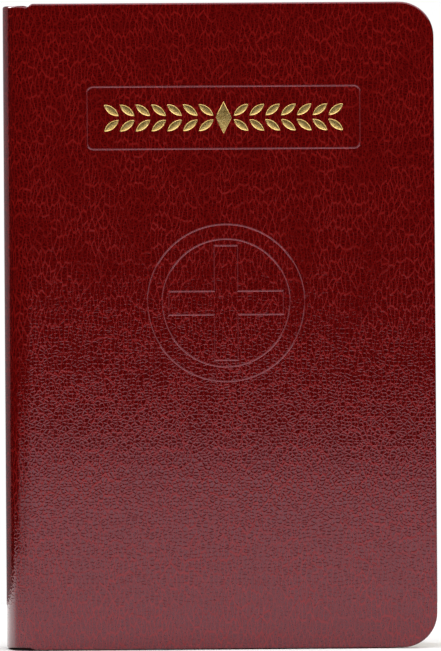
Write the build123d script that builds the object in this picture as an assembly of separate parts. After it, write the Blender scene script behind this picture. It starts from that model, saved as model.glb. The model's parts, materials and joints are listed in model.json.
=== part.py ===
from build123d import *
import math
import os

# A thick pocket prayer book in an imitation leather binding with a tight rounded back.
# It stands upright on its tail: +Z runs from tail to head, +X from the spine to the
# fore-edge, and the front cover faces -Y. The origin is the centre of the floor that
# it stands on.

# ---- Driving dimensions, in millimetres --------------------------------------------

HEIGHT = 176.0              # tail to head of the covers
WIDTH = 117.5               # crown of the spine to the fore-edge of the covers
THICKNESS = 38.0            # outer face of one cover to the outer face of the other
SPINE_RISE = 6.5            # how far the rounded spine stands out past the cover joints
COVER_CORNER = 9.5          # radius of the covers' fore-edge corners

LEATHER = 0.8               # imitation leather
BOARD = 0.9                 # flexible cover board
TURN_IN_THICKNESS = 0.25    # leather pared thin where it turns over the board
TURN_IN_WIDTH = 12.0
PASTEDOWN = 0.15
PASTEDOWN_INSET = 4.0       # cover edge left showing round the pastedown
EDGE_ROUNDING = 0.7
JOINT_GAP = 0.1             # each side of the hinge line between a cover and the spine
BOARD_SETBACK = 1.75        # hinge line to the board's back edge

SQUARE = 3.0                # covers past the leaves at head, tail and fore-edge
LEAF_CORNER = 7.0
ENDPAPER = 0.12             # a flyleaf
TURNING_LEAF = 0.1          # a loose leaf at the middle opening
PAPER_CLEARANCE = 0.12      # air on each side of a flyleaf

SIGNATURES_PER_SECTION = 16
SIGNATURE_CLEARANCE = 0.02  # air between folded signatures
MIDDLE_GAP = 1.0            # room for the leaves that turn at the middle opening
QUARTER_GAP = 0.4           # between two sections on the same side of the middle
SPLIT_GAP = 0.05            # each side of a plane where the spine flexes

SPINE_LINER = 0.3
SPINE_MULL = 0.25
THREAD = 0.15
THREAD_WIDTH = 0.8
SPINE_INSET = 0.5           # spine leather stops short of the covers at head and tail
HEM_HEIGHT = 2.2            # head cap: spine leather turned in and doubled
HEM_THICKNESS = 1.3
BAND_RADIUS = 0.85          # worked bead of a headband
BAND_TAB = 8.0              # headband cloth glued down the back

TOOLING_DEPTH = 0.15        # blind-stamped lines
TOOLING_WIDTH = 0.4
FOIL_RECESS = 0.12
FOIL = 0.06

# ---- Worked out from the driving dimensions ----------------------------------------

FORE_EDGE = WIDTH / 2
CROWN = -WIDTH / 2
JOINT = CROWN + SPINE_RISE
OUTER = THICKNESS / 2
COVER_INNER = OUTER - LEATHER - BOARD - TURN_IN_THICKNESS - PASTEDOWN
BLOCK_HALF = COVER_INNER - ENDPAPER - 2 * PAPER_CLEARANCE

SPINE_RADIUS = (OUTER ** 2 + SPINE_RISE ** 2) / (2 * SPINE_RISE)
SPINE_CENTRE = CROWN + SPINE_RADIUS
LEATHER_INNER = SPINE_RADIUS - LEATHER
LINER_INNER = LEATHER_INNER - SPINE_LINER
MULL_INNER = LINER_INNER - SPINE_MULL
BACK_RADIUS = MULL_INNER - THREAD

PITCH = (BLOCK_HALF - MIDDLE_GAP / 2 - QUARTER_GAP) / (2 * SIGNATURES_PER_SECTION)
SECTION = SIGNATURES_PER_SECTION * PITCH
QUARTER_PLANE = MIDDLE_GAP / 2 + SECTION + QUARTER_GAP / 2

LEAF_TAIL = SQUARE
LEAF_HEAD = HEIGHT - SQUARE


def back_at(y, radius):
    """X of the rounded back at distance y from the book's middle plane."""
    return SPINE_CENTRE - math.sqrt(radius ** 2 - y ** 2)


LEAF_WIDTH = FORE_EDGE - SQUARE - back_at(BLOCK_HALF, BACK_RADIUS)

# ---- Building blocks ---------------------------------------------------------------


def slab(x_low, x_high, y_low, y_high, z_low, z_high):
    """A box given by its two corners."""
    centre = ((x_low + x_high) / 2, (y_low + y_high) / 2, (z_low + z_high) / 2)
    return Pos(*centre) * Box(x_high - x_low, y_high - y_low, z_high - z_low)


def plate(x_low, x_high, y_low, y_high, z_low, z_high, corner):
    """A flat sheet facing Y, with its two fore-edge corners rounded."""
    sheet = slab(x_low, x_high, y_low, y_high, z_low, z_high)
    fore_corners = sheet.edges().filter_by(Axis.Y).group_by(Axis.X)[-1]
    return fillet(fore_corners, corner)


def spine_shell(inner, outer, y_low, y_high, z_low, z_high):
    """Part of the rounded spine between two radii, stopping at the hinge lines."""
    length = z_high - z_low
    ring = Cylinder(outer, length) - Cylinder(inner, length)
    ring = Pos(SPINE_CENTRE, 0, (z_low + z_high) / 2) * ring
    return ring & slab(CROWN - 1, JOINT - JOINT_GAP, y_low, y_high, z_low, z_high)


def write(node, shapes):
    """Write one node as a group of separate solids."""
    solids = []
    for shape in shapes:
        solids.extend(shape.solids())
    part = solids[0] if len(solids) == 1 else Compound(children=solids)
    part.label = node
    export_step(part, f"parts/{node}.step")


# ---- Covers ------------------------------------------------------------------------


def cover_leather():
    """Front cover's leather, wrapped round the board and turned in on three sides."""
    inner = -OUTER + LEATHER + BOARD + TURN_IN_THICKNESS
    skin = plate(JOINT + JOINT_GAP, FORE_EDGE, -OUTER, inner, 0, HEIGHT, COVER_CORNER)
    wrapped = [
        edge
        for face in (skin.faces().sort_by(Axis.Y)[0], skin.faces().sort_by(Axis.Y)[-1])
        for edge in face.edges()
        if edge.center().X > JOINT + 2 * JOINT_GAP
    ]
    skin = fillet(wrapped, EDGE_ROUNDING)
    pocket = plate(
        JOINT - 1, FORE_EDGE - LEATHER,
        -OUTER + LEATHER, inner - TURN_IN_THICKNESS,
        LEATHER, HEIGHT - LEATHER, COVER_CORNER - LEATHER,
    )
    window = slab(
        JOINT - 1, FORE_EDGE - TURN_IN_WIDTH,
        -OUTER + LEATHER, inner + 1,
        TURN_IN_WIDTH, HEIGHT - TURN_IN_WIDTH,
    )
    return skin - pocket - window


def cover_board():
    """Board with its inner face left proud between the turn-ins."""
    clearance = 0.05
    edge = LEATHER + clearance
    back = JOINT + BOARD_SETBACK
    main = plate(
        back, FORE_EDGE - edge, -OUTER + LEATHER, -OUTER + LEATHER + BOARD,
        edge, HEIGHT - edge, COVER_CORNER - edge,
    )
    infill_edge = TURN_IN_WIDTH + clearance
    infill = slab(
        back, FORE_EDGE - infill_edge,
        -OUTER + LEATHER + BOARD, -OUTER + LEATHER + BOARD + TURN_IN_THICKNESS,
        infill_edge, HEIGHT - infill_edge,
    )
    return main + infill


def pastedown():
    """Endpaper glued to the inside of the cover."""
    return plate(
        JOINT + BOARD_SETBACK / 2, FORE_EDGE - PASTEDOWN_INSET,
        -COVER_INNER - PASTEDOWN, -COVER_INNER,
        PASTEDOWN_INSET, HEIGHT - PASTEDOWN_INSET, LEAF_CORNER,
    )


def flyleaf():
    """Free endpaper between the front cover and the block."""
    low = -COVER_INNER + PAPER_CLEARANCE
    return plate(
        JOINT + BOARD_SETBACK / 2, FORE_EDGE - SQUARE,
        low, low + ENDPAPER, LEAF_TAIL, LEAF_HEAD, LEAF_CORNER,
    )


# ---- Front cover's tooling: a framed gold band and a ringed cross --------------------

BAND_X = 1.35               # centre of the framed band
BAND_Z = 144.7
BAND_WIDTH = 74.3
BAND_HEIGHT = 17.0
BAND_CORNER = 1.6
EMBLEM_X = 1.7
EMBLEM_Z = 94.2
EMBLEM_RADIUS = 21.6
EMBLEM_INNER_RADIUS = 17.6
CROSS_ARM = 6.4             # width of the cross's arms
CROSS_REACH = 15.6          # centre to the end of an arm
LAUREL_LEAVES = 7           # pairs of leaves on each side of the lozenge
LAUREL_PITCH = 4.3
LEAF_LENGTH = 5.0
LEAF_BREADTH = 1.9
LOZENGE_HEIGHT = 8.8


def on_cover(flat, depth, x, z):
    """Stand a flat outline on the front cover's outer face, sunk to a depth."""
    face = Plane(origin=(x, -OUTER, z), x_dir=(1, 0, 0), z_dir=(0, 1, 0))
    mirrored = flat.mirror(Plane.XZ)
    return extrude(face * mirrored, depth)


def blind_lines():
    """Blind-stamped lines, as the solids that they press out of the leather."""
    frame = RectangleRounded(BAND_WIDTH, BAND_HEIGHT, BAND_CORNER)
    frame -= RectangleRounded(
        BAND_WIDTH - 2 * TOOLING_WIDTH, BAND_HEIGHT - 2 * TOOLING_WIDTH,
        BAND_CORNER - TOOLING_WIDTH,
    )
    arms = Rectangle(CROSS_ARM, 2 * CROSS_REACH) + Rectangle(2 * CROSS_REACH, CROSS_ARM)
    inside = CROSS_ARM - 2 * TOOLING_WIDTH
    reach = 2 * (CROSS_REACH - TOOLING_WIDTH)
    cross = arms - (Rectangle(inside, reach) + Rectangle(reach, inside))
    stamps = [on_cover(frame, TOOLING_DEPTH, BAND_X, BAND_Z)]
    stamps.append(on_cover(cross, TOOLING_DEPTH, EMBLEM_X, EMBLEM_Z))
    for radius in (EMBLEM_RADIUS, EMBLEM_INNER_RADIUS):
        ring = Circle(radius) - Circle(radius - TOOLING_WIDTH)
        stamps.append(on_cover(ring, TOOLING_DEPTH, EMBLEM_X, EMBLEM_Z))
    return stamps


def laurel_leaf():
    """A pointed leaf lying along X from the origin, where two circles overlap."""
    radius = (LEAF_LENGTH ** 2 + LEAF_BREADTH ** 2) / (4 * LEAF_BREADTH)
    offset = radius - LEAF_BREADTH / 2
    lens = (Pos(0, offset) * Circle(radius)) & (Pos(0, -offset) * Circle(radius))
    return Pos(LEAF_LENGTH / 2, 0) * lens


def laurel_outlines():
    """A band of laurel leaves that spread from a middle lozenge to both sides."""
    half = LOZENGE_HEIGHT / 2
    outlines = [make_face(Polyline((0, half), (half / 2, 0), (0, -half), (-half / 2, 0), close=True))]
    for side in (1, -1):
        for pair in range(LAUREL_LEAVES):
            x = side * (LAUREL_PITCH * pair + 2.8)
            for turn in (38, -38):
                angle = turn if side == 1 else 180 - turn
                lift = 0.55 if turn > 0 else -0.55
                outlines.append(Pos(x, lift) * Rot(0, 0, angle) * laurel_leaf())
    return outlines


def laurel(depth):
    """The laurel band's shapes, sunk to a depth in the front cover."""
    return [on_cover(outline, depth, BAND_X, BAND_Z) for outline in laurel_outlines()]


# ---- Sections of the sewn block ------------------------------------------------------

# Each section runs between two distances from the middle plane, on the front (-Y) or
# the rear (+Y) side of it.
INNER_RANGE = (MIDDLE_GAP / 2, SPLIT_GAP, QUARTER_PLANE - SPLIT_GAP)
OUTER_RANGE = (QUARTER_PLANE + QUARTER_GAP / 2, QUARTER_PLANE + SPLIT_GAP, OUTER)
SECTIONS = {
    "front_outer": (-1, OUTER_RANGE),
    "front_inner": (-1, INNER_RANGE),
    "rear_inner": (1, INNER_RANGE),
    "rear_outer": (1, OUTER_RANGE),
}


def signatures(side, first):
    """Folded signatures of one section, stepped to follow the rounded back."""
    folded = []
    for number in range(SIGNATURES_PER_SECTION):
        near = first + number * PITCH
        far = near + PITCH - SIGNATURE_CLEARANCE
        back = back_at(far, BACK_RADIUS)
        low, high = sorted((side * near, side * far))
        folded.append(plate(back, back + LEAF_WIDTH, low, high, LEAF_TAIL, LEAF_HEAD, LEAF_CORNER))
    return folded


def spine_leather(low, high):
    """A strip of the spine's leather, doubled at head and tail into the caps."""
    tail = SPINE_INSET
    head = HEIGHT - SPINE_INSET
    strip = spine_shell(LEATHER_INNER, SPINE_RADIUS, low, high, tail, head)
    hem_inner = SPINE_RADIUS - HEM_THICKNESS
    strip += spine_shell(hem_inner, SPINE_RADIUS, low, high, tail, tail + HEM_HEIGHT)
    strip += spine_shell(hem_inner, SPINE_RADIUS, low, high, head - HEM_HEIGHT, head)
    return strip


def sewing_thread(low, high):
    """Linked stitches that cross the folds at evenly spaced stations."""
    stations = 6
    spacing = (LEAF_HEAD - LEAF_TAIL) / (stations + 1)
    rows = []
    for station in range(1, stations + 1):
        z = LEAF_TAIL + station * spacing
        rows.append(spine_shell(
            BACK_RADIUS, MULL_INNER, low, high, z - THREAD_WIDTH / 2, z + THREAD_WIDTH / 2
        ))
    return rows


def end_band(low, high, outward, edge):
    """A headband: a worked bead on the leaves' ends with its cloth glued down the back."""
    bead_centre = BACK_RADIUS - BAND_RADIUS + THREAD
    circle = Plane.XZ * Pos(bead_centre, 0) * Circle(BAND_RADIUS)
    bead = revolve(circle, Axis.Z, 360)
    bead = Pos(SPINE_CENTRE, 0, edge + outward * BAND_RADIUS) * bead
    bead = bead & slab(CROWN, JOINT - JOINT_GAP, low, high, -BAND_RADIUS, HEIGHT + BAND_RADIUS)
    z_low, z_high = sorted((edge - outward * BAND_TAB, edge + outward * BAND_RADIUS))
    tab = spine_shell(BACK_RADIUS, MULL_INNER, low, high, z_low, z_high)
    return bead + tab


# ---- Writing the nodes ---------------------------------------------------------------

os.makedirs("parts", exist_ok=True)

plain_leather = cover_leather()
plain_board = cover_board()
plain_pastedown = pastedown()
plain_flyleaf = flyleaf()

stamped_leather = plain_leather
for stamp in blind_lines() + laurel(FOIL_RECESS):
    stamped_leather -= stamp
foil_sheets = [shape & slab(
    -WIDTH, WIDTH, -OUTER + FOIL_RECESS - FOIL, 0, 0, HEIGHT
) for shape in laurel(FOIL_RECESS)]

write("front_cover_leather", [stamped_leather])
write("front_cover_board", [plain_board])
write("front_pastedown", [plain_pastedown])
write("front_gold_foil", foil_sheets)
write("front_flyleaf", [plain_flyleaf])

write("back_cover_leather", [plain_leather.mirror(Plane.XZ)])
write("back_cover_board", [plain_board.mirror(Plane.XZ)])
write("back_pastedown", [plain_pastedown.mirror(Plane.XZ)])
write("rear_flyleaf", [plain_flyleaf.mirror(Plane.XZ)])

for name, (side, (first, near, far)) in SECTIONS.items():
    low, high = sorted((side * near, side * far))
    block_far = min(far, BLOCK_HALF)
    block_low, block_high = sorted((side * first, side * block_far))
    write(f"{name}_signatures", signatures(side, first))
    write(f"{name}_spine_leather", [spine_leather(low, high)])
    write(f"{name}_spine_liner", [spine_shell(
        LINER_INNER, LEATHER_INNER, block_low, block_high, LEAF_TAIL, LEAF_HEAD
    )])
    write(f"{name}_mull", [spine_shell(
        MULL_INNER, LINER_INNER, block_low, block_high,
        LEAF_TAIL + BAND_TAB / 2, LEAF_HEAD - BAND_TAB / 2,
    )])
    write(f"{name}_sewing_thread", sewing_thread(block_low, block_high))
    write(f"{name}_headband", [end_band(block_low, block_high, 1, LEAF_HEAD)])
    write(f"{name}_tailband", [end_band(block_low, block_high, -1, LEAF_TAIL)])

turning_leaves = 3
leaf_spacing = MIDDLE_GAP / (turning_leaves + 1)
for number in range(turning_leaves):
    y = -MIDDLE_GAP / 2 + (number + 1) * leaf_spacing
    back = back_at(0, BACK_RADIUS) + leaf_spacing
    write(f"middle_leaf_{number + 1}", [plate(
        back, back + LEAF_WIDTH - leaf_spacing,
        y - TURNING_LEAF / 2, y + TURNING_LEAF / 2, LEAF_TAIL, LEAF_HEAD, LEAF_CORNER,
    )])

quarter_x = back_at(QUARTER_PLANE, SPINE_RADIUS)
print(f"cover hinges at x {JOINT:.3f}, y {OUTER:.3f}")
print(f"middle hinge at x {CROWN:.3f}, y 0; quarter hinges at x {quarter_x:.3f}, y {QUARTER_PLANE:.3f}")
print(f"block half thickness {BLOCK_HALF:.3f}, leaf width {LEAF_WIDTH:.3f}, pitch {PITCH:.4f}")
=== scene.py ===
"""Looks of the prayer book: leather case, gilt sewn block, bands and leaves."""
import json
import math
import random

import bmesh
import bpy
from mathutils import Matrix, Vector
from mathutils.geometry import delaunay_2d_cdt, intersect_point_line


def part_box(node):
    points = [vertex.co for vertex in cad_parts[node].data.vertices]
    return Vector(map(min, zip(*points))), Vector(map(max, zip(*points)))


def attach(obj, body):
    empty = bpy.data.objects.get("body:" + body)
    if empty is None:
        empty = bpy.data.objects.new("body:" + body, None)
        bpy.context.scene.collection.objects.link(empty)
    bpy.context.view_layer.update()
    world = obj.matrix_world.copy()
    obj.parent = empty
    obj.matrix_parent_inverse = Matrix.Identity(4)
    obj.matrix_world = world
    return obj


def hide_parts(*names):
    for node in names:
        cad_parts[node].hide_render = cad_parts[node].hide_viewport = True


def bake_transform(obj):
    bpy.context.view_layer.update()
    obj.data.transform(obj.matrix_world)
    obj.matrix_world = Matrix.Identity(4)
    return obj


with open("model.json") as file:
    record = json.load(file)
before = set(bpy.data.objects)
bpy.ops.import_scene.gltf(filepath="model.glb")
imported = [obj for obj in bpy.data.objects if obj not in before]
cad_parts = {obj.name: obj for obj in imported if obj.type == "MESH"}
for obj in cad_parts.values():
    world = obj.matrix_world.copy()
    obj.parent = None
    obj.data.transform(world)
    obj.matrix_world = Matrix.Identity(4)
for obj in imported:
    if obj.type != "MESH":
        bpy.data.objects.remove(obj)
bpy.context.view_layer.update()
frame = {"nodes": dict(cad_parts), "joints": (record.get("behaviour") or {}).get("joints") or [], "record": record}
MM = 0.001

# ---- Places read from the frame --------------------------

hinges = {joint["name"]: joint["pos_m"] for joint in frame["joints"]}
cover_low, cover_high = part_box("front_cover_leather")
spine_low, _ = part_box("front_outer_spine_leather")
FORE = cover_high.x
OUTER = -cover_low.y
HEIGHT = cover_high.z
CROWN = hinges["middle_opening"][0]
JOINT = hinges["front_cover_hinge"][0]
QUARTER_Y = hinges["rear_quarter_opening"][1]
SPINE_INSET = spine_low.z

RISE = JOINT - CROWN
SPINE_RADIUS = (OUTER ** 2 + RISE ** 2) / (2 * RISE)
CENTRE = CROWN + SPINE_RADIUS

SECTIONS = ("front_outer", "front_inner", "rear_inner", "rear_outer")
random.seed(7)


# ---- Camera ----------------------------------------------

CAMERA_PLACE = (-39.3 * MM, -2000 * MM, 85 * MM)
CAMERA_PITCH = math.radians(0.088)
CAMERA_YAW = math.radians(-1.14)
CAMERA_ROLL = math.radians(-0.398)
CAMERA_LENS = 402.3


def make_camera():
    camera = bpy.data.objects.new("camera", bpy.data.cameras.new("camera"))
    bpy.context.scene.collection.objects.link(camera)
    camera.data.lens = CAMERA_LENS
    camera.data.sensor_width = 36
    camera.data.clip_start = 0.01
    turn = Matrix.Rotation(CAMERA_YAW, 4, "Z")
    turn = turn @ Matrix.Rotation(math.pi / 2 + CAMERA_PITCH, 4, "X")
    turn = turn @ Matrix.Rotation(CAMERA_ROLL, 4, "Z")
    camera.matrix_world = Matrix.Translation(CAMERA_PLACE) @ turn
    bpy.context.scene.camera = camera


# ---- The case as one flat sheet, wrapped round the book --

# The case is laid out flat: t runs from 0 at the spine's crown to the fore-edge, z from
# tail to head. A point of it is put in place by its side (-1 front, 1 rear), t, z and its
# depth under the outer surface.

JOINT_ROUNDING = 3 * MM
fillet_reach = math.sqrt((SPINE_RADIUS - JOINT_ROUNDING) ** 2 - (OUTER - JOINT_ROUNDING) ** 2)
FILLET_X = CENTRE - fillet_reach
FILLET_TURN = math.atan2(OUTER - JOINT_ROUNDING, -fillet_reach)
SPINE_LENGTH = SPINE_RADIUS * (math.pi - FILLET_TURN)
FILLET_LENGTH = JOINT_ROUNDING * (FILLET_TURN - math.pi / 2)
FLAT_START = SPINE_LENGTH + FILLET_LENGTH
SHEET_END = FLAT_START + FORE - FILLET_X
HINGE_T = SPINE_LENGTH + FILLET_LENGTH / 2


def smooth_step(low, high, value):
    share = min(max((value - low) / (high - low), 0), 1)
    return share * share * (3 - 2 * share)


SHOULDER = 1.5 * MM
SHOULDER_T = 0.74 * HINGE_T
CASE_DEPTH = 1.95 * MM


def shoulder(t):
    """How far the leather stands out of the spine's arc at its full, padded corners."""
    return SHOULDER * (smooth_step(0, SHOULDER_T, t) - smooth_step(SHOULDER_T, HINGE_T, t))


def placed(side, t, z, depth):
    """Where a point of the flat case lies on the closed book."""
    if t < 0:
        side, t = -side, -t
    depth -= shoulder(t) * max(1 - depth / CASE_DEPTH, 0)
    if t <= SPINE_LENGTH:
        angle = math.pi - t / SPINE_RADIUS
        reach = SPINE_RADIUS - depth
        return Vector((CENTRE + reach * math.cos(angle), side * reach * math.sin(angle), z))
    if t <= FLAT_START:
        angle = FILLET_TURN - (t - SPINE_LENGTH) / JOINT_ROUNDING
        reach = JOINT_ROUNDING - depth
        return Vector((
            FILLET_X + reach * math.cos(angle),
            side * (OUTER - JOINT_ROUNDING + reach * math.sin(angle)),
            z,
        ))
    return Vector((FILLET_X + t - FLAT_START, side * (OUTER - depth), z))


def outward(side, t):
    """The case's outward direction at a place on its outer face."""
    step = 0.02 * MM
    along = placed(side, t + step, 0, 0) - placed(side, t - step, 0, 0)
    across = Vector((along.y, -along.x, 0)).normalized()
    inner = placed(side, t, 0, MM) - placed(side, t, 0, 0)
    return -across if across.dot(inner) > 0 else across


NICK_DEPTH = 0.4 * MM
NICK_WIDTH = 0.9 * MM


def edge_drop(t, nick_depth=NICK_DEPTH):
    """How far the case's edge stops short of the covers' edge, with a nick at the hinge."""
    at_hinge = smooth_step(HINGE_T - 1 * MM, HINGE_T + 2 * MM, t)
    on_spine = smooth_step(0, HINGE_T, t) - at_hinge
    nick = math.exp(-((t - HINGE_T) / NICK_WIDTH) ** 2)
    return SPINE_INSET * max(on_spine, 0) + nick_depth * nick


LEATHER = 0.8 * MM
TURN_IN = 12 * MM
TURN_IN_THICKNESS = 0.25 * MM
HEM = 2.2 * MM
HEM_THICKNESS = 1.3 * MM
FACE_INSET = 1.5 * MM
EDGE_ROUNDING = 0.5 * MM
CAP_ROUNDING = 0.64 * MM
EDGE_TURN = 1.5 * MM        # half the stretch over which a cover's edge becomes a spine cap
FOLD_STEP = 0.05 * MM       # how far a fold's inner face slopes


def edge_profile(t):
    """Inset and depth of the points round the case's edge, from outer face to inner face."""
    spine = 1 - smooth_step(HINGE_T - EDGE_TURN, HINGE_T + EDGE_TURN, t)

    def mixed(cover_value, spine_value):
        return cover_value * (1 - spine) + spine_value * spine

    rounding = mixed(EDGE_ROUNDING, CAP_ROUNDING)
    depth = mixed(CASE_DEPTH, HEM_THICKNESS)
    flap = mixed(TURN_IN, HEM)
    under_flap = mixed(CASE_DEPTH - TURN_IN_THICKNESS, LEATHER)
    board_edge = mixed(LEATHER, HEM + 0.3 * MM)
    steps = 5
    turns = [math.pi / 2 * step / steps for step in range(steps + 1)]
    points = [(FACE_INSET, 0)]
    for turn in turns:
        points.append((rounding * (1 - math.sin(turn)), rounding * (1 - math.cos(turn))))
    for turn in turns:
        points.append((rounding * (1 - math.cos(turn)), depth - rounding * (1 - math.sin(turn))))
    points.append((flap, depth))
    points.append((flap + FOLD_STEP, under_flap))
    points.append((board_edge, under_flap - 0.01 * MM))
    points.append((board_edge + FOLD_STEP, LEATHER))
    return points


# ---- Meshes ----------------------------------------------

ON_FACE = math.cos(math.radians(25))
UV_PER_METRE = 10.0
INSIDE = 1                  # triangulate only inside the outline
SLIVER = 0.0005             # twice the area of a triangle too thin to keep, in square millimetres
WELD = 1e-4                 # points nearer than this become one, in millimetres


def new_object(name, mesh):
    piece = bpy.data.objects.new(name, mesh)
    bpy.context.scene.collection.objects.link(piece)
    return piece


def joined(loop):
    """Each point of a closed loop with the one after it."""
    return zip(loop, loop[1:] + loop[:1])


def bridged(bm, loop, after):
    """Faces between two closed loops with as many points, in the order of those points."""
    return [
        bm.faces.new((a, b, d, c)) for (a, b), (c, d) in zip(joined(loop), joined(after))
    ]


def finished_mesh(bm, name, flat_layer=None, outward_layer=None, sharp_degrees=30, closed=True):
    """Orient a closed bmesh and smooth it, copying its flat layout to the UV map.

    A corner that lies on the case's outer face takes that face's true normal.
    """
    if closed:
        bmesh.ops.recalc_face_normals(bm, faces=bm.faces)
    limit = math.radians(sharp_degrees)
    for face in bm.faces:
        face.smooth = True
    for edge in bm.edges:
        if len(edge.link_faces) == 2 and edge.calc_face_angle(0) > limit:
            edge.smooth = False
    if flat_layer is not None:
        uv_layer = bm.loops.layers.uv.new("UVMap")
        for face in bm.faces:
            for loop in face.loops:
                flat = loop.vert[flat_layer]
                loop[uv_layer].uv = (flat.x, flat.y)
    normals = []
    if outward_layer is not None:
        for face in bm.faces:
            for loop in face.loops:
                normal = loop.vert[outward_layer]
                on_face = normal.length > 0.5 and face.normal.dot(normal) > ON_FACE
                normals.append(normal.normalized() if on_face else Vector())
    mesh = bpy.data.meshes.new(name)
    bm.to_mesh(mesh)
    bm.free()
    if normals:
        mesh.normals_split_custom_set(normals)
    return mesh


def signed_area(points):
    """Twice a closed outline's area, positive when it runs anticlockwise."""
    return sum(a[0] * b[1] - b[0] * a[1] for a, b in joined(points))


def contains(outline, point):
    """Whether a closed outline goes round a point."""
    within = False
    for a, b in joined(outline):
        if (a[1] > point[1]) != (b[1] > point[1]):
            crossing = a[0] + (point[1] - a[1]) * (b[0] - a[0]) / (b[1] - a[1])
            within = within != (point[0] < crossing)
    return within


def beside(loop, point, reach):
    """Whether a point lies within a reach of a closed loop's line."""
    for a, b in joined(loop):
        spans = [min(p, q) - reach < value < max(p, q) + reach for p, q, value in zip(a, b, point)]
        if all(spans):
            nearest, _ = intersect_point_line(point, a, b)
            if math.hypot(nearest[0] - point[0], nearest[1] - point[1]) < reach:
                return True
    return False


def triangulated(outline, others, edges=()):
    """Points and triangles inside a closed outline, and the inputs that each point stands for.

    Lengths are in millimetres. Beside the outline, a sliver or a triangle outside it is left out.
    """
    count = len(outline)
    ring = [(i, (i + 1) % count) for i in range(count)]
    places, _, faces, sources, *_ = delaunay_2d_cdt(
        outline + others, ring + list(edges), [tuple(range(count))], INSIDE, WELD, True
    )
    kept = []
    for corners in faces:
        points = [places[i] for i in corners]
        if all(min(sources[i]) < count for i in corners):
            middle = sum(points, Vector((0, 0))) / 3
            if abs(signed_area(points)) < SLIVER or not contains(outline, middle):
                continue
        kept.append(corners)
    return places, kept, sources


class Sheet:
    """A mesh being built on the flat case, whose points keep their flat place."""

    def __init__(self, side):
        self.side = side
        self.bm = bmesh.new()
        self.flat = self.bm.verts.layers.float_vector.new("flat")
        self.pressed = self.bm.verts.layers.float.new("pressed")
        self.outward = self.bm.verts.layers.float_vector.new("outward")

    def point(self, t, z, depth, flat_t=None, flat_z=None):
        vert = self.bm.verts.new(placed(self.side, t, z, depth))
        flat_t = t if flat_t is None else flat_t
        flat_z = z if flat_z is None else flat_z
        vert[self.flat] = Vector((self.side * flat_t, flat_z, 0)) * UV_PER_METRE
        if depth == 0:
            vert[self.outward] = outward(self.side, t)
        return vert

    def finished(self, name):
        return new_object(name, finished_mesh(self.bm, name, self.flat, self.outward))

    def face(self, verts):
        if len(set(verts)) == len(verts):
            self.bm.faces.new(verts)

    def fill(self, boundary, grid, lines=(), depth=0.0):
        """Triangulate inside a closed boundary. Lines are (points, depth) closed loops."""
        if signed_area(boundary) < 0:
            boundary = boundary[::-1]
        ring = [Vector(p) / MM for p in boundary]
        others = []
        depths = [depth] * len(ring)
        edges = []
        for points, line_depth in lines:
            first = len(depths)
            others.extend(Vector(p) / MM for p in points)
            depths.extend([depth + line_depth] * len(points))
            edges.extend(
                (first + i, first + (i + 1) % len(points)) for i in range(len(points))
            )
        others.extend(Vector(p) / MM for p in grid)
        depths.extend([depth] * len(grid))
        places, triangles, sources = triangulated(ring, others, edges)
        verts = []
        for place, source in zip(places, sources):
            own = max((depths[i] for i in source), default=depth)
            vert = self.point(place.x * MM, place.y * MM, own)
            vert[self.pressed] = min((own - depth) / LINE_DEPTH, 1)
            verts.append(vert)
        for corners in triangles:
            self.face([verts[i] for i in corners])


# ---- Outlines used for the tooling -----------------------


def rounded_rectangle(centre, width, height, corner, steps=6):
    points = []
    for quadrant in range(4):
        sx = 1 if quadrant in (0, 3) else -1
        sz = 1 if quadrant in (0, 1) else -1
        middle = (centre[0] + sx * (width / 2 - corner), centre[1] + sz * (height / 2 - corner))
        for step in range(steps + 1):
            angle = math.pi / 2 * (quadrant + step / steps)
            points.append((
                middle[0] + corner * math.cos(angle), middle[1] + corner * math.sin(angle)
            ))
    return points


def circle(centre, radius, steps=96):
    return [
        (centre[0] + radius * math.cos(2 * math.pi * i / steps),
         centre[1] + radius * math.sin(2 * math.pi * i / steps))
        for i in range(steps)
    ]


MITRE_LIMIT = 0.35          # keeps a sharp tip's mitre short


def offset_outline(points, distance):
    """A closed outline moved inwards by a distance, with mitred corners."""
    moved = []
    turn = 1 if signed_area(points) > 0 else -1
    for before, here, after in zip(points[-1:] + points[:-1], points, points[1:] + points[:1]):
        first = Vector((here[0] - before[0], here[1] - before[1])).normalized()
        second = Vector((after[0] - here[0], after[1] - here[1])).normalized()
        normal_a = Vector((-first.y, first.x)) * turn
        normal_b = Vector((-second.y, second.x)) * turn
        middle = (normal_a + normal_b).normalized()
        reach = distance / max(middle.dot(normal_a), MITRE_LIMIT)
        moved.append((here[0] + middle.x * reach, here[1] + middle.y * reach))
    return moved


# ---- Front cover's tooling -------------------------------

BAND = Vector((1.35, 144.7)) * MM
BAND_SIZE = Vector((74.3, 17.0)) * MM
BAND_CORNER = 1.6 * MM
EMBLEM = Vector((1.7, 94.2)) * MM
EMBLEM_RADII = (21.6 * MM, 17.6 * MM)
CROSS_ARM = 6.4 * MM
CROSS_REACH = 15.6 * MM
LINE_HALF_WIDTH = 0.2 * MM
LINE_DEPTH = 0.15 * MM
LAUREL_PAIRS = 7
LAUREL_PITCH = 4.3 * MM
LAUREL_START = 2.8 * MM
LAUREL_TILT = math.radians(38)
LAUREL_SPREAD = 0.55 * MM   # how far a leaf's root lies from the band's middle line
LEAF_LENGTH = 5.0 * MM
LEAF_BREADTH = 1.9 * MM
LOZENGE = 8.8 * MM
RECESS = 0.13 * MM
RECESS_WALL = 0.16 * MM
FOIL_THICKNESS = 0.02 * MM
FOIL_FOLD = 40              # degrees past which a fold in the foil is sharp


def on_front(point):
    """A point of the front cover on the flat case, from its place in x and z."""
    return (point[0] - FILLET_X + FLAT_START, point[1])


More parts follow.
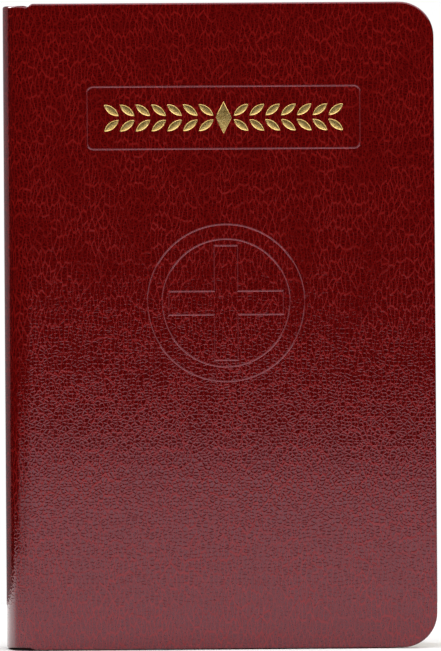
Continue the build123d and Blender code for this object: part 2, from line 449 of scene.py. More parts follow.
def cross_outline():
    arm = CROSS_ARM / 2
    reach = CROSS_REACH
    corner = [(arm, reach), (arm, arm), (reach, arm)]
    points = []
    for quarter in range(4):
        for x, z in (corner if quarter % 2 else corner[::-1]):
            sx = 1 if quarter in (0, 3) else -1
            sz = 1 if quarter in (0, 1) else -1
            points.append((EMBLEM.x + sx * x, EMBLEM.y + sz * z))
    return points


def leaf_outline(root, angle, steps=9):
    """A pointed leaf between two arcs, from its root along an angle."""
    radius = (LEAF_LENGTH ** 2 + LEAF_BREADTH ** 2) / (4 * LEAF_BREADTH)
    sweep = math.asin(LEAF_LENGTH / 2 / radius)
    points = []
    for side in (-1, 1):
        for step in range(steps):
            turn = -sweep + 2 * sweep * step / steps
            along = LEAF_LENGTH / 2 + radius * math.sin(turn)
            across = radius * math.cos(turn) - (radius - LEAF_BREADTH / 2)
            points.append((along, -across) if side < 0 else (LEAF_LENGTH - along, across))
    cos_a, sin_a = math.cos(angle), math.sin(angle)
    return [
        (root[0] + x * cos_a - z * sin_a, root[1] + x * sin_a + z * cos_a) for x, z in points
    ]


def laurel_outlines():
    half = LOZENGE / 2
    outlines = [[
        (BAND.x - half / 2, BAND.y), (BAND.x, BAND.y - half),
        (BAND.x + half / 2, BAND.y), (BAND.x, BAND.y + half),
    ]]
    for side in (1, -1):
        for pair in range(LAUREL_PAIRS):
            for tilt in (LAUREL_TILT, -LAUREL_TILT):
                lift = LAUREL_SPREAD if tilt > 0 else -LAUREL_SPREAD
                root = (BAND.x + side * (LAUREL_PITCH * pair + LAUREL_START), BAND.y + lift)
                outlines.append(leaf_outline(root, tilt if side > 0 else math.pi - tilt))
    return outlines


def tooling_lines():
    """Closed loops of the tooling in the flat case, each with its depth."""
    lines = []
    strokes = [rounded_rectangle(BAND, BAND_SIZE.x, BAND_SIZE.y, BAND_CORNER)]
    strokes.append(cross_outline())
    strokes.extend(circle(EMBLEM, radius - LINE_HALF_WIDTH) for radius in EMBLEM_RADII)
    for stroke in strokes:
        for shift, depth in ((LINE_HALF_WIDTH, 0), (0, LINE_DEPTH), (-LINE_HALF_WIDTH, 0)):
            loop = offset_outline(stroke, shift)
            lines.append(([on_front(p) for p in loop], depth))
    for outline in laurel_outlines():
        lines.append(([on_front(p) for p in outline], 0))
        inner = offset_outline(outline, RECESS_WALL)
        lines.append(([on_front(p) for p in inner], RECESS))
    return lines


def gold_foil():
    """Foil pressed into the recesses, with its rim just over the leather's surface."""
    bm = bmesh.new()
    y_surface = -OUTER
    floor_depth = RECESS / MM
    # Inset from the outline and depth under the surface, in millimetres.
    rings = ((0.0, -0.012), (0.1, 0.03), (0.17, floor_depth - 0.03), (0.4, floor_depth - 0.05))
    for outline in laurel_outlines():
        loops = []
        for inset, depth in rings:
            loop = offset_outline(outline, inset * MM)
            loops.append([bm.verts.new((x, y_surface + depth * MM, z)) for x, z in loop])
        for outer, inner in zip(loops, loops[1:]):
            bridged(bm, outer, inner)
        bm.faces.new(loops[-1])
    bmesh.ops.recalc_face_normals(bm, faces=bm.faces)
    if sum(face.normal.y * face.calc_area() for face in bm.faces) > 0:
        bmesh.ops.reverse_faces(bm, faces=bm.faces)
    name = "gold_laurel_band"
    piece = new_object(name, finished_mesh(bm, name, sharp_degrees=FOIL_FOLD, closed=False))
    solidify = piece.modifiers.new("thickness", "SOLIDIFY")
    solidify.thickness = FOIL_THICKNESS
    solidify.offset = -1
    depsgraph = bpy.context.evaluated_depsgraph_get()
    mesh = bpy.data.meshes.new_from_object(piece.evaluated_get(depsgraph))
    piece.modifiers.clear()
    piece.data = mesh
    return piece


# ---- Leather case ----------------------------------------

QUARTER_T = SPINE_RADIUS * math.asin(QUARTER_Y / SPINE_RADIUS)
INNER_SEAM = QUARTER_T / 2
OUTER_SEAM = 13.5 * MM
COVER_CORNER = 9.5 * MM
FINE_STEP = 0.45 * MM       # between points along the case where it curves
FLAT_STEP = 2.4 * MM        # between points along a cover's flat edge
OUTER_GRID = 2.6 * MM
INNER_GRID = 9 * MM


def cover_outline(seam):
    """Points round a cover's edge with their inward directions, from head to tail."""
    points = []
    corner_t = SHEET_END - COVER_CORNER
    stops = [seam]
    while stops[-1] < corner_t - 0.4 * MM:
        step = FINE_STEP if stops[-1] < FLAT_START + 1 * MM else FLAT_STEP
        stops.append(min(stops[-1] + step, corner_t))
    for t in stops:
        points.append((t, HEIGHT - edge_drop(t), 0.0, -1.0))

    def corner(centre_z, angle):
        out_t, out_z = math.cos(angle), math.sin(angle)
        reach_t, reach_z = COVER_CORNER * out_t, COVER_CORNER * out_z
        return (corner_t + reach_t, centre_z + reach_z, -out_t, -out_z)

    steps, rows = 14, 64
    for step in range(1, steps + 1):
        points.append(corner(HEIGHT - COVER_CORNER, math.pi / 2 * (1 - step / steps)))
    for row in range(1, rows):
        z = HEIGHT - COVER_CORNER - (HEIGHT - 2 * COVER_CORNER) * row / rows
        points.append((SHEET_END, z, -1.0, 0.0))
    for step in range(steps + 1):
        points.append(corner(COVER_CORNER, -math.pi / 2 * step / steps))
    for t in reversed(stops[:-1]):
        points.append((t, edge_drop(t, 0), 0.0, 1.0))
    return points


def sheet_grid(seam, fine_to, coarse, inset, clear_of=()):
    """Points spread over a cover's face, closer together where the case curves.

    None of them lies in a box of clear_of, which gives low and high corners.
    """
    points = []
    fine_t, fine_z = 0.5 * MM, 2.5 * MM
    tail_clear, head_clear, corner_clear = 0.9 * MM, 1.2 * MM, 0.8 * MM
    t = seam + fine_t
    column = 0
    while t < SHEET_END - inset - coarse / 2:
        fine = t < fine_to
        step_z = fine_z if fine else coarse
        z = inset + (step_z if column % 2 else step_z / 2) + tail_clear
        while z < HEIGHT - inset - head_clear:
            beyond_t = t - (SHEET_END - COVER_CORNER)
            beyond_z = abs(z - HEIGHT / 2) - (HEIGHT / 2 - COVER_CORNER)
            clear = math.hypot(max(beyond_t, 0), max(beyond_z, 0))
            boxed = any(low[0] < t < high[0] and low[1] < z < high[1] for low, high in clear_of)
            if clear < COVER_CORNER - inset - corner_clear and not boxed:
                points.append((t, z))
            z += step_z
        t += fine_t if fine else coarse
        column += 1
    return points


def cover_case(name, side, lines=()):
    """A cover's leather with its turned edges, running on to the middle of its strip of spine."""
    sheet = Sheet(side)
    outline = cover_outline(OUTER_SEAM)
    rows = []
    for t, z, in_t, in_z in outline:
        profile = edge_profile(t)
        verts = []
        wrapped = 0.0
        for number, (inset, depth) in enumerate(profile):
            if number:
                last = profile[number - 1]
                wrapped += math.hypot(inset - last[0], depth - last[1])
            flat = FACE_INSET - wrapped
            verts.append(sheet.point(
                t + in_t * inset, z + in_z * inset, depth, t + in_t * flat, z + in_z * flat
            ))
        rows.append(verts)
    for row, after in zip(rows, rows[1:]):
        for k in range(len(row) - 1):
            sheet.face((row[k], row[k + 1], after[k + 1], after[k]))

    def loop(k):
        """The edge's k-th line, closed by a straight run down the seam."""
        inner = []
        for t, z, in_t, in_z in outline:
            inset = edge_profile(t)[k][0]
            inner.append((t + in_t * inset, z + in_z * inset))
        low, high = inner[-1], inner[0]
        count = 40
        for step in range(1, count):
            inner.append((low[0], low[1] + (high[1] - low[1]) * step / count))
        return inner

    recesses = [points for points, depth in lines if depth == RECESS]
    boxes = [
        ((min(p[0] for p in points), min(p[1] for p in points)),
         (max(p[0] for p in points), max(p[1] for p in points)))
        for points in recesses
    ]
    strokes = [points for points, depth in lines if depth == LINE_DEPTH]
    grid = [
        point for point in sheet_grid(OUTER_SEAM, FLAT_START, OUTER_GRID, FACE_INSET, boxes)
        if not any(beside(stroke, point, 2 * LINE_HALF_WIDTH) for stroke in strokes)
    ]
    sheet.fill(loop(0), grid, lines)
    last = len(edge_profile(OUTER_SEAM)) - 1
    inner_grid = sheet_grid(OUTER_SEAM, FLAT_START, INNER_GRID, HEM + 0.6 * MM)
    sheet.fill(loop(last), inner_grid, depth=LEATHER)
    bmesh.ops.remove_doubles(sheet.bm, verts=sheet.bm.verts, dist=0.004 * MM)
    open_edges = [edge for edge in sheet.bm.edges if len(edge.link_faces) == 1]
    bmesh.ops.holes_fill(sheet.bm, edges=open_edges, sides=0)
    return sheet.finished(name)


def spine_case(name, start, end):
    """A strip of the spine's leather between two places on the flat case, caps included."""
    sheet = Sheet(1)
    count = max(int((end - start) / FINE_STEP), 2)
    face_steps = 44
    rows = []
    for column in range(count + 1):
        t = start + (end - start) * column / count
        profile = edge_profile(abs(t))
        head = HEIGHT - edge_drop(abs(t))
        tail = edge_drop(abs(t), 0)
        ring = []
        low, high = tail + FACE_INSET, head - FACE_INSET
        for k in range(face_steps + 1):
            ring.append((low + (high - low) * k / face_steps, 0.0, 0.0))
        for edge, inward in ((head, -1), (tail, 1)):
            turned = []
            wrapped = 0.0
            for number, (inset, depth) in enumerate(profile[1:], 1):
                last = profile[number - 1]
                wrapped += math.hypot(inset - last[0], depth - last[1])
                slip = inward * (inset - FACE_INSET + wrapped)
                turned.append((edge + inward * inset, depth, slip))
            ring.extend(turned if inward < 0 else turned[::-1])
        verts = []
        for z, depth, slip in ring:
            verts.append(sheet.point(t, z, depth, t, z - slip))
        rows.append(verts)
    for row, after in zip(rows, rows[1:]):
        bridged(sheet.bm, row, after)
    sheet.face(rows[0])
    sheet.face(rows[-1][::-1])
    return sheet.finished(name)


# ---- Sewn block ------------------------------------------

BAND_TUBE = 0.85 * MM
BAND_PROUD = 0.15 * MM      # how far an end band would stand out of the back at a swell of 1
THREAD_PROUD = 0.15 * MM    # how far the sewing thread stands out of the rounded back
THREAD_PITCH = 0.32 * MM
THREAD_LOW, THREAD_RISE = 0.86, 0.12    # a band's swell between two turns of thread, and over one
LEAF_CORNER = 7 * MM
GILT_CREEP = 0.5 * MM
PAGE, GILDING, FOLDED_PAPER = 0, 1, 2
SIGNATURES = 16             # in a section
SIGNATURE_GAP = 0.02 * MM   # between two of them in the CAD
SEEN_GAP = 0.012 * MM       # between two of them here
FORE_WANDER = 0.09          # how unevenly signatures end at the fore-edge, in millimetres
END_WANDER = 0.06           # the same at head and tail
GROOVE_AT_EDGE = 0.8        # a groove's share that the trimmed edges show

# A place through a signature's thickness, and how far its edges draw back there, in millimetres.
SIGNATURE_SHAPE = ((0.0, 0.14), (0.16, 0.02), (0.5, 0.0), (0.84, 0.02), (1.0, 0.14))


def edge_outline(x_low, x_high, z_low, z_high, corner):
    """Points round a leaf: its tail and head corners at the fore-edge, then its spine side."""
    steps = 12
    points = []
    for centre_z, turn in ((z_low + corner, -math.pi / 2), (z_high - corner, 0.0)):
        for step in range(steps + 1):
            angle = turn + math.pi / 2 * step / steps
            points.append((
                x_high - corner + corner * math.cos(angle), centre_z + corner * math.sin(angle)
            ))
    points.append((x_low, z_high))
    points.append((x_low, z_low))
    return points


def signature_block(section):
    """A section's folded signatures, each with its own groove and small offset."""
    low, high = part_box(section + "_signatures")
    side = 1 if section.startswith("rear") else -1
    near, far = sorted((abs(low.y), abs(high.y)))
    pitch = (far - near + SIGNATURE_GAP) / SIGNATURES
    back_radius = CENTRE - frame_back_x()
    leaf_width = high.x - back_x(far, back_radius)
    bm = bmesh.new()
    loops = []
    for number in range(SIGNATURES):
        start = near + number * pitch
        offset = random.uniform(-FORE_WANDER, FORE_WANDER) * MM
        end_offset = random.uniform(-END_WANDER, END_WANDER) * MM
        for share, groove in SIGNATURE_SHAPE:
            y = start + share * (pitch - SEEN_GAP)
            trimmed = groove * MM * GROOVE_AT_EDGE
            back = back_x(start + pitch, back_radius) + groove * MM
            fore = back_x(y, back_radius) + leaf_width - trimmed + offset
            outline = edge_outline(
                back, fore, low.z + trimmed - end_offset, high.z - trimmed + end_offset, LEAF_CORNER
            )
            loops.append([bm.verts.new((x, side * y, z)) for x, z in outline])
    for loop, after in zip(loops, loops[1:]):
        sides = bridged(bm, loop, after)
        for face in sides:
            face.material_index = GILDING
        sides[-2].material_index = FOLDED_PAPER
    for loop in (loops[0], loops[-1]):
        outline = [(vert.co.x, vert.co.z) for vert in loop]
        inner = [
            bm.verts.new((x, loop[0].co.y, z)) for x, z in offset_outline(outline, GILT_CREEP)
        ]
        for face in bridged(bm, loop, inner):
            face.material_index = GILDING
        bm.faces.new(inner)
    name = section + "_leaves"
    return new_object(name, finished_mesh(bm, name))


def frame_back_x():
    """X of the rounded back of the sewn block at the book's middle plane."""
    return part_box("front_inner_sewing_thread")[0].x + THREAD_PROUD


def back_x(y, radius):
    """X of the rounded back at a distance from the middle plane."""
    return CENTRE - math.sqrt(radius ** 2 - y ** 2)


def end_band(section, at_head):
    """A worked band: thread wound round a core that follows the rounded back."""
    node = section + ("_headband" if at_head else "_tailband")
    low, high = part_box(node)
    block_low, block_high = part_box(section + "_signatures")
    edge = block_high.z if at_head else block_low.z
    away = 1 if at_head else -1
    back_radius = CENTRE - frame_back_x()
    core_radius = back_radius - BAND_TUBE + BAND_PROUD
    bm = bmesh.new()
    uv_layer = bm.loops.layers.uv.new("UVMap")
    angle_low = math.asin(low.y / core_radius)
    angle_high = math.asin(high.y / core_radius)
    turns = int((angle_high - angle_low) * core_radius / THREAD_PITCH)
    per_turn = 4
    around = 12
    rings = []
    for step in range(turns * per_turn + 1):
        angle = angle_low + (angle_high - angle_low) * step / (turns * per_turn)
        swell = THREAD_LOW + THREAD_RISE * abs(math.sin(math.pi * step / per_turn))
        ring = []
        for k in range(around):
            turn = 2 * math.pi * k / around
            reach = core_radius + BAND_TUBE * swell * math.cos(turn)
            z = edge + away * (BAND_TUBE + BAND_TUBE * swell * math.sin(turn))
            ring.append(bm.verts.new((
                CENTRE - reach * math.cos(angle), reach * math.sin(angle), z
            )))
        rings.append(ring)
    for number, (ring, after) in enumerate(zip(rings, rings[1:])):
        for k, face in enumerate(bridged(bm, ring, after)):
            for loop in face.loops:
                on_after = loop.vert in after
                loop[uv_layer].uv = ((number + on_after) / per_turn, k / around)
    bm.faces.new(rings[0])
    bm.faces.new(rings[-1])
    name = node + "_worked"
    return new_object(name, finished_mesh(bm, name, sharp_degrees=70))


# ---- Single leaves ---------------------------------------

LEAF_GRID = 3 * MM
EDGE_MARGIN = 1.2 * MM
CORNER_MARGIN = 1.5 * MM


def paper_leaf(name, node):
    """A leaf as a fine grid."""
    low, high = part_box(node)
    bm = bmesh.new()
    corners = [Vector(p) for p in edge_outline(low.x, high.x, low.z, high.z, LEAF_CORNER)]
    ring = []
    for here, after in joined(corners):
        pieces = max(int((after - here).length / LEAF_GRID), 1)
        ring.extend(here.lerp(after, i / pieces) / MM for i in range(pieces))
    count = len(ring)
    others = [Vector(p) for p in offset_outline(ring, GILT_CREEP / MM)]
    inner_ring = [(count + i, count + (i + 1) % count) for i in range(count)]
    columns = int((high.x - low.x) / LEAF_GRID)
    rows = int((high.z - low.z) / LEAF_GRID)
    for i in range(1, columns):
        for j in range(1, rows):
            x = low.x + (high.x - low.x) * i / columns
            z = low.z + (high.z - low.z) * j / rows
            beyond_x = max(x - (high.x - LEAF_CORNER), 0)
            beyond_z = max(abs(z - (low.z + high.z) / 2) - ((high.z - low.z) / 2 - LEAF_CORNER), 0)
            edge = min(x - low.x, high.x - x, z - low.z, high.z - z)
            clear_of_corner = math.hypot(beyond_x, beyond_z) < LEAF_CORNER - CORNER_MARGIN
            if clear_of_corner and edge > EDGE_MARGIN:
                others.append(Vector((x, z)) / MM)
    places, triangles, sources = triangulated(ring, others, inner_ring)
    layers = []
    for y in (low.y, high.y):
        verts = [bm.verts.new((p.x * MM, y, p.y * MM)) for p in places]
        layers.append(verts)
        for triangle in triangles:
            face = bm.faces.new([verts[i] for i in triangle])
            ranks = [min(sources[i]) for i in triangle]
            gilded = min(ranks) < count and max(ranks) < 2 * count
            face.material_index = GILDING if gilded else PAGE
    found = {source: index for index, group in enumerate(sources) for source in group}
    for i in range(count):
        a, b = found[i], found[(i + 1) % count]
        rim = bm.faces.new((layers[0][a], layers[0][b], layers[1][b], layers[1][a]))
        rim.material_index = GILDING
    return new_object(name, finished_mesh(bm, name))


# ---- Materials -------------------------------------------


class Shader:
    """A node material with a Principled BSDF and short ways to add and join nodes."""

    def __init__(self, name, roughness, metallic=0.0, specular=0.5):
        self.material = bpy.data.materials.new(name)
        self.material.use_nodes = True
        self.tree = self.material.node_tree
        self.bsdf = self.tree.nodes["Principled BSDF"]
        self.bsdf.inputs["Roughness"].default_value = roughness
        self.bsdf.inputs["Metallic"].default_value = metallic
        self.bsdf.inputs["Specular IOR Level"].default_value = specular

    def node(self, kind, inputs=None, **settings):
        node = self.tree.nodes.new(kind)
        for key, value in settings.items():
            setattr(node, key, value)
        for key, value in (inputs or {}).items():
            if isinstance(value, bpy.types.NodeSocket):
                self.tree.links.new(value, node.inputs[key])
            else:
                node.inputs[key].default_value = value
        return node

    def link(self, output, socket):
        self.tree.links.new(output, self.bsdf.inputs[socket])

    def coordinates(self, kind, scale=(1, 1, 1)):
        """Object or UV coordinates, stretched by a scale on each axis."""
        source = self.node("ShaderNodeTexCoord")
        return self.node(
            "ShaderNodeMapping", {"Vector": source.outputs[kind], "Scale": scale}
        ).outputs["Vector"]

    def noise(self, vector, scale, detail, roughness=0.55, output="Fac"):
        return self.node("ShaderNodeTexNoise", {
            "Vector": vector, "Scale": scale, "Detail": detail, "Roughness": roughness
        }).outputs[output]

    def stretched(self, vector, width_mm, height_mm):
        """The flat case's coordinates counted in cells of a width and a height."""
        per_mm = 1 / (UV_PER_METRE * MM)
        return self.node("ShaderNodeVectorMath", {
            0: vector, 1: (per_mm / width_mm, per_mm / height_mm, 1)
        }, operation="MULTIPLY").outputs[0]

    def net(self, vector, width_mm, height_mm):
        """Distance to the nearest line of an irregular net of cells."""
        return self.node("ShaderNodeTexVoronoi", {
            "Vector": self.stretched(vector, width_mm, height_mm), "Scale": 1.0
        }, feature="DISTANCE_TO_EDGE", voronoi_dimensions="2D").outputs["Distance"]

    def shifted(self, vector, flat, scale, reach):
        """Coordinates moved about by the colour of a noise on the flat case."""
        colour = self.noise(flat, scale, 1, output="Color")
        centred = self.node(
            "ShaderNodeVectorMath", {0: colour, 1: (0.5, 0.5, 0.5)}, operation="SUBTRACT"
        ).outputs[0]
        return self.node(
            "ShaderNodeVectorMath", {0: centred, 1: reach, 2: vector}, operation="MULTIPLY_ADD"
        ).outputs[0]

    def math(self, operation, first, second=0.0, clamp=False):
        return self.node(
            "ShaderNodeMath", {0: first, 1: second}, operation=operation, use_clamp=clamp
        ).outputs[0]

    def times(self, first, second):
        return self.math("MULTIPLY", first, second)

    def ramp(self, value, low, high, to_low=0.0, to_high=1.0):
        return self.node("ShaderNodeMapRange", {
            "Value": value, "From Min": low, "From Max": high,
            "To Min": to_low, "To Max": to_high,
        }, interpolation_type="SMOOTHSTEP").outputs["Result"]

    def mix(self, share, first, second):
        return self.node(
            "ShaderNodeMix", {0: share, 6: first, 7: second}, data_type="RGBA"
        ).outputs[2]

    def finished(self, colour, height, strength, distance):
        """The material with its colour and a bump of a strength and a height in metres."""
        bump = self.node("ShaderNodeBump", {
            "Height": height, "Strength": strength, "Distance": distance
        })
        self.link(bump.outputs["Normal"], "Normal")
        self.link(colour, "Base Color")
        return self.material


LEATHER_SHEEN = (1.0, 0.54, 0.63, 1)
LEATHER_DEEP = (0.040, 0.0001, 0.0002, 1)
LEATHER_HIGHLIGHT_AND_GRAIN = (0.185, 0.0046, 0.0036, 1)
LEATHER_TOOLING_HIGHLIGHT = (0.20, 0.035, 0.04, 1)
SMOOTH_GLOSS = 0.04
LINE_GLOSS = 0.125
LEATHER_RELIEF = 0.0000037


def leather_material():
    """Crimson leathercloth: lines that run up the cover and fine creases, painted bright as a highlight, and a
    satin gloss.
    """
    shader = Shader("crimson_leather", roughness=SMOOTH_GLOSS, specular=1.0)
    shader.bsdf.inputs["Specular Tint"].default_value = LEATHER_SHEEN
    flat = shader.coordinates("UV")
    bent = shader.shifted(flat, flat, 12, (0.02, 0.008, 0.0))
    wandering = shader.shifted(bent, flat, 60, (0.0055, 0.003, 0.0))

    tall = shader.net(wandering, 1.1, 4.2)
    small = shader.net(wandering, 1.35, 1.0)
    faded = shader.noise(shader.stretched(flat, 9, 14), 1.0, 1)
    strength = shader.ramp(faded, 0.3, 0.6, 0.55, 1.0)
    ridges = shader.times(shader.ramp(tall, 0.0, 0.14, 1.0, 0.0), strength)
    creases = shader.times(shader.ramp(small, 0.0, 0.2, 1.0, 0.0), 0.3)
    lines = shader.math("MAXIMUM", ridges, creases)
    grain = shader.noise(shader.stretched(flat, 0.5, 0.4), 1.0, 1)
    speckled = shader.math("ADD", shader.times(grain, 0.34), -0.02)
    share = shader.math("ADD", shader.times(lines, 0.7), speckled, clamp=True)
    # Ridges and creases mix towards the lighter colour as a painted highlight where light would catch them. The
    # speckle is the grain's own tone.
    colour = shader.mix(share, LEATHER_DEEP, LEATHER_HIGHLIGHT_AND_GRAIN)
    pressed = shader.node("ShaderNodeAttribute", attribute_name="pressed").outputs["Fac"]
    # The tooling's grooves are painted pinkish and lighter as a painted highlight on their edges.
    colour = shader.mix(shader.ramp(pressed, 0.2, 0.8, 0.0, 0.7), colour, LEATHER_TOOLING_HIGHLIGHT)

    shader.link(shader.ramp(lines, 0.1, 0.9, SMOOTH_GLOSS, LINE_GLOSS), "Roughness")
    swell = shader.noise(shader.stretched(flat, 2.2, 2.6), 1.0, 0)
    height = shader.ramp(small, 0.0, 0.3, 1.0, 0.0)
    height = shader.math("ADD", height, shader.times(swell, 0.9))
    raised = shader.times(shader.ramp(tall, 0.0, 0.25, 1.0, 0.0), 0.5)
    height = shader.math("ADD", height, raised)
    return shader.finished(colour, height, 1.0, LEATHER_RELIEF)


def foil_material():
    shader = Shader("gold_foil", roughness=0.24, metallic=1.0)
    place = shader.coordinates("Object")
    worn = shader.ramp(shader.noise(place, 900, 3), 0.35, 0.7)
    colour = shader.mix(worn, (0.86, 0.62, 0.24, 1), (0.62, 0.40, 0.12, 1))
    return shader.finished(colour, shader.noise(place, 2600, 2), 0.3, 0.00003)


def gilt_material():
    shader = Shader("gilt_edges", roughness=0.36, metallic=0.9)
    leaves = shader.coordinates("Object", (25, 9000, 25))
    layers = shader.noise(leaves, 1.0, 2)
    rubbed = shader.noise(shader.coordinates("Object", (60, 700, 40)), 1.0, 4)
    dull, bright = (0.26, 0.165, 0.055, 1), (0.47, 0.33, 0.13, 1)
    tone = shader.mix(shader.ramp(layers, 0.35, 0.65), dull, bright)
    tone = shader.mix(shader.ramp(rubbed, 0.62, 0.8), tone, (0.45, 0.36, 0.22, 1))
    return shader.finished(tone, layers, 0.6, 0.00004)


PAGE_MIDDLE = 2 * MM
LINES_PER_UV = 28.0         # printed lines in one unit of the UV map, which is 100 mm
COLUMN_EDGES = (0.02, 0.43)  # from the page's middle, in units of the UV map
COLUMN_HALF_HEIGHT = 0.74
COLUMN_SOFTNESS = 0.01
INK = (0.12, 0.10, 0.09, 1)


def paper_material(name, base, printed):
    """Paper. A printed page has rules that stand for two columns of text."""
    shader = Shader(name, roughness=0.75, specular=0.25)
    flat = shader.coordinates("UV")
    pulp = shader.noise(flat, 35, 5)
    fibres = shader.noise(shader.coordinates("UV", (300, 900, 1)), 1.0, 3)
    darker = tuple(channel * 0.9 for channel in base) + (1,)
    colour = shader.mix(shader.ramp(pulp, 0.3, 0.7), darker, tuple(base) + (1,))
    if printed:
        split = shader.node("ShaderNodeSeparateXYZ", {"Vector": flat})
        across, up = split.outputs["X"], split.outputs["Y"]
        rows = shader.math("FRACT", shader.times(up, LINES_PER_UV))
        row = shader.times(shader.ramp(rows, 0.35, 0.45), shader.ramp(rows, 0.8, 0.7))
        words = shader.noise(shader.coordinates("UV", (90, LINES_PER_UV, 1)), 1.0, 2)
        row = shader.times(row, shader.ramp(words, 0.42, 0.5))
        columns = shader.math("ABSOLUTE", shader.math("ADD", across, -PAGE_MIDDLE * UV_PER_METRE))
        gutter, margin = COLUMN_EDGES
        text = shader.times(
            shader.ramp(columns, margin, margin - COLUMN_SOFTNESS),
            shader.ramp(columns, gutter, gutter + COLUMN_SOFTNESS),
        )
        level = shader.math("ABSOLUTE", shader.math("ADD", up, -HEIGHT / 2 * UV_PER_METRE))
        ends = shader.ramp(level, COLUMN_HALF_HEIGHT, COLUMN_HALF_HEIGHT - COLUMN_SOFTNESS)
        text = shader.times(text, ends)
        ink = shader.times(shader.times(row, text), 0.42)
        colour = shader.mix(ink, colour, INK)
    return shader.finished(colour, fibres, 0.15, 0.00003)


def striped_material(name, first, second, turns_per_stripe):
    """A worked band that changes between two colours along its length."""
    shader = Shader(name, roughness=0.8, specular=0.2)
    flat = shader.coordinates("UV")
    along = shader.node("ShaderNodeSeparateXYZ", {"Vector": flat}).outputs["X"]
    turn = shader.math("FRACT", shader.times(along, 0.5 / turns_per_stripe))
    fuzz = shader.noise(shader.coordinates("UV", (1, 14, 1)), 3.0, 3)
    colour = shader.mix(shader.math("GREATER_THAN", turn, 0.5), first, second)
    colour = shader.mix(shader.ramp(fuzz, 0.3, 0.8, 0.0, 0.35), colour, (0.1, 0.03, 0.03, 1))
    return shader.finished(colour, fuzz, 0.5, 0.00008)


def woven_material(name, first, second, threads):
    """A cloth of two thread directions."""
    shader = Shader(name, roughness=0.8, specular=0.2)
    place = shader.coordinates("Object")
    split = shader.node("ShaderNodeSeparateXYZ", {"Vector": place})
    warp = shader.math("SINE", shader.times(split.outputs["Y"], threads))
    weft = shader.math("SINE", shader.times(split.outputs["Z"], threads))
    weave = shader.times(warp, weft)
    colour = shader.mix(shader.ramp(weave, -0.6, 0.6), first, second)
    return shader.finished(colour, weave, 0.5, 0.0001)


def board_material(name, base, scale):
    shader = Shader(name, roughness=0.85, specular=0.2)
    place = shader.coordinates("Object")
    pulp = shader.noise(place, scale, 6, 0.7)
    darker = tuple(channel * 0.7 for channel in base) + (1,)
    colour = shader.mix(shader.ramp(pulp, 0.3, 0.7), darker, tuple(base) + (1,))
    return shader.finished(colour, pulp, 0.3, 0.0001)


def stage_material(name, tone):
    shader = Shader(name, roughness=0.9, specular=0.1)
    place = shader.coordinates("Object")
    cloud = shader.noise(place, 2.0, 2)
    bright = (tone, tone, tone * 0.99, 1)
    soft = (tone * 0.98, tone * 0.98, tone * 0.97, 1)
    shader.link(shader.mix(cloud, soft, bright), "Base Color")
    return shader.material


materials = {
    "crimson_leather": leather_material(),
    "gold_foil": foil_material(),
    "bible_paper": paper_material("bible_paper", (0.86, 0.81, 0.69), printed=True),
    "endpaper": paper_material("endpaper", (0.84, 0.79, 0.68), printed=False),
    "gilt": gilt_material(),
    "grey_board": board_material("grey_board", (0.36, 0.34, 0.31), 300),
    "kraft_paper": board_material("kraft_paper", (0.42, 0.28, 0.16), 500),
    "mull_cloth": woven_material("mull_cloth", (0.5, 0.47, 0.38, 1), (0.78, 0.75, 0.66, 1), 9000),
    "linen_thread": woven_material("linen_thread", (0.6, 0.56, 0.45, 1), (0.85, 0.82, 0.74, 1), 14000),
    "headband_cloth": striped_material(
        "headband_cloth", (0.42, 0.015, 0.02, 1), (0.82, 0.76, 0.6, 1), turns_per_stripe=4
    ),
}


def dress(piece, *names, slot=None):
    """Give a piece its materials. The slot argument is not used."""
    for name in names:
        piece.data.materials.append(materials[name])


def planar_uv(piece):
    """Lay a flat leaf's UV map out by its place in x and z."""
    layer = piece.data.uv_layers.get("UVMap") or piece.data.uv_layers.new(name="UVMap")
    for loop in piece.data.loops:
        place = piece.data.vertices[loop.vertex_index].co
        layer.data[loop.index].uv = (place.x * UV_PER_METRE, place.z * UV_PER_METRE)


# ---- Putting the book together ---------------------------


def dress_frame():
    """Carried-over CAD nodes take the material of their slot."""
    for part in frame["record"]["subparts"]:
        node = frame["nodes"][part["node"]]
        for slot in node.material_slots:
            slot.material = materials[part["material_slot"]]


def build_case():
    front = cover_case("front_leather", -1, tooling_lines())
    back = cover_case("back_leather", 1)
    for piece, cover, section, side, node in (
        (front, "front_cover", "front_outer_section", -1, "front_cover_leather"),
        (back, "back_cover", "rear_outer_section", 1, "back_cover_leather"),
    ):
        dress(piece, "crimson_leather")
        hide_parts(node)
        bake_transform(piece)
    strips = (
        ("spine_leather_front", -OUTER_SEAM, -INNER_SEAM, "front_outer", "front_inner", -QUARTER_Y),
        ("spine_leather_middle", -INNER_SEAM, INNER_SEAM, "front_inner", "rear_inner", 0.0),
        ("spine_leather_rear", INNER_SEAM, OUTER_SEAM, "rear_inner", "rear_outer", QUARTER_Y),
    )
    for name, start, end, first, second, y in strips:
        piece = spine_case(name, start, end)
        dress(piece, "crimson_leather")
        if name != "spine_leather_middle":
            # The middle strip covers parts of nodes that the other two replace.
            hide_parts(first + "_spine_leather", second + "_spine_leather")
        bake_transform(piece)


def build_block():
    for section in SECTIONS:
        leaves = signature_block(section)
        planar_uv(leaves)
        dress(leaves, "bible_paper", "gilt", "bible_paper", slot="bible_paper")
        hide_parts(section + "_signatures")
        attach(leaves, section + "_section")
        for at_head in (True, False):
            band = end_band(section, at_head)
            dress(band, "headband_cloth")
            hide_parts(section + ("_headband" if at_head else "_tailband"))
            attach(band, section + "_section")


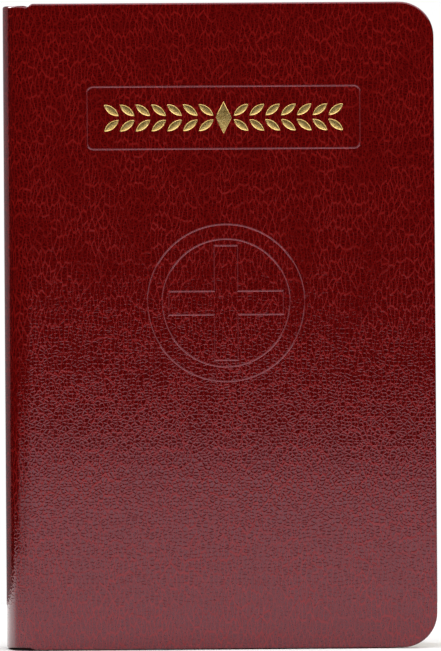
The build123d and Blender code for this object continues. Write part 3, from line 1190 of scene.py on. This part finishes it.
def build_leaves():
    turning = (
        ("front_flyleaf", "endpaper", "front_outer_section", "front_endleaf"),
        ("rear_flyleaf", "endpaper", "rear_outer_section", "rear_endleaf"),
        ("middle_leaf_1", "bible_paper", "rear_inner_section", "turning_leaf_1"),
        ("middle_leaf_2", "bible_paper", "rear_inner_section", "turning_leaf_2"),
        ("middle_leaf_3", "bible_paper", "rear_inner_section", "turning_leaf_3"),
    )
    for node, paper, root, free in turning:
        piece = paper_leaf(node + "_paper", node)
        planar_uv(piece)
        dress(piece, paper, "gilt")
        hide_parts(node)
        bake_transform(piece)


def build_foil():
    piece = gold_foil()
    dress(piece, "gold_foil")
    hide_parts("front_gold_foil")
    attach(piece, "front_cover")


# ---- Stage and light -------------------------------------


def area_light(name, place, aim, size, power, tint=(1, 1, 1)):
    """A soft light, with its place, aim and size in metres and its power in watts."""
    light = bpy.data.lights.new(name, "AREA")
    light.shape = "RECTANGLE"
    light.size, light.size_y = size
    light.energy = power
    light.color = tint
    lamp = new_object(name, light)
    lamp.location = place
    lamp.rotation_euler = (Vector(aim) - Vector(place)).to_track_quat("-Z", "Y").to_euler()
    lamp.visible_camera = False


FLOOR_GAP = 0.25 * MM
FLOOR_TONE = 0.85
ROOM = (0.009, 0.009, 0.009, 1)
BACKDROP = (1.0, 1.0, 1.0, 1)
PINK = (1.0, 0.74, 0.78)


def build_stage():
    """A pale floor, soft lights and a dim world that only the camera sees as white, in metres.

    The leather mirrors the floor's far edges, and those in front lie where the cover's sheen
    should end. Behind the book and beside its spine the floor is cut short, which keeps its dim
    far edge out of low side views and slightly shortens the pale patch at the spine's base.
    """
    mesh = bpy.data.meshes.new("floor")
    side, front, back = 2.2, 3.2, 0.32
    front_right = 2.2
    spine_side, notch = 0.9, 0.4
    corners = (
        (-side, -front), (0.06, -front), (0.3, -front_right), (side, -front_right), (side, back),
        (-spine_side, back), (-spine_side, -notch), (-side, -notch),
    )
    mesh.from_pydata([(x, y, 0) for x, y in corners], [], [tuple(range(len(corners)))])
    floor = new_object("floor", mesh)
    floor.location.z = -FLOOR_GAP
    mesh.materials.append(stage_material("pale_floor", FLOOR_TONE))

    world = bpy.data.worlds.new("studio")
    bpy.context.scene.world = world
    world.use_nodes = True
    nodes, links = world.node_tree.nodes, world.node_tree.links
    background = nodes["Background"]
    seen = nodes.new("ShaderNodeLightPath")
    mix = nodes.new("ShaderNodeMix")
    mix.data_type = "RGBA"
    mix.inputs[6].default_value = ROOM
    mix.inputs[7].default_value = BACKDROP
    links.new(seen.outputs["Is Camera Ray"], mix.inputs[0])
    links.new(mix.outputs[2], background.inputs["Color"])

    area_light("overhead", (0.0, -2.5, 2.6), (0.0, -2.5, 0.0), (8.0, 5.4), 345)
    area_light("rear_fill", (0.9, 1.0, 2.2), (0.6, 0.6, 0.0), (2.4, 1.6), 28)
    area_light("backdrop", (-0.6, 1.3, 0.3), (-0.1, 0.0, 0.1), (1.0, 0.9), 0.55, PINK)
    area_light("rear_side", (-0.6, 1.1, 0.95), (CROWN, 0, 0.09), (0.5, 0.5), 8)
    bpy.context.scene.view_settings.view_transform = "Standard"


make_camera()
dress_frame()
build_case()
build_block()
build_leaves()
build_foil()
build_stage()

bpy.context.view_layer.update()
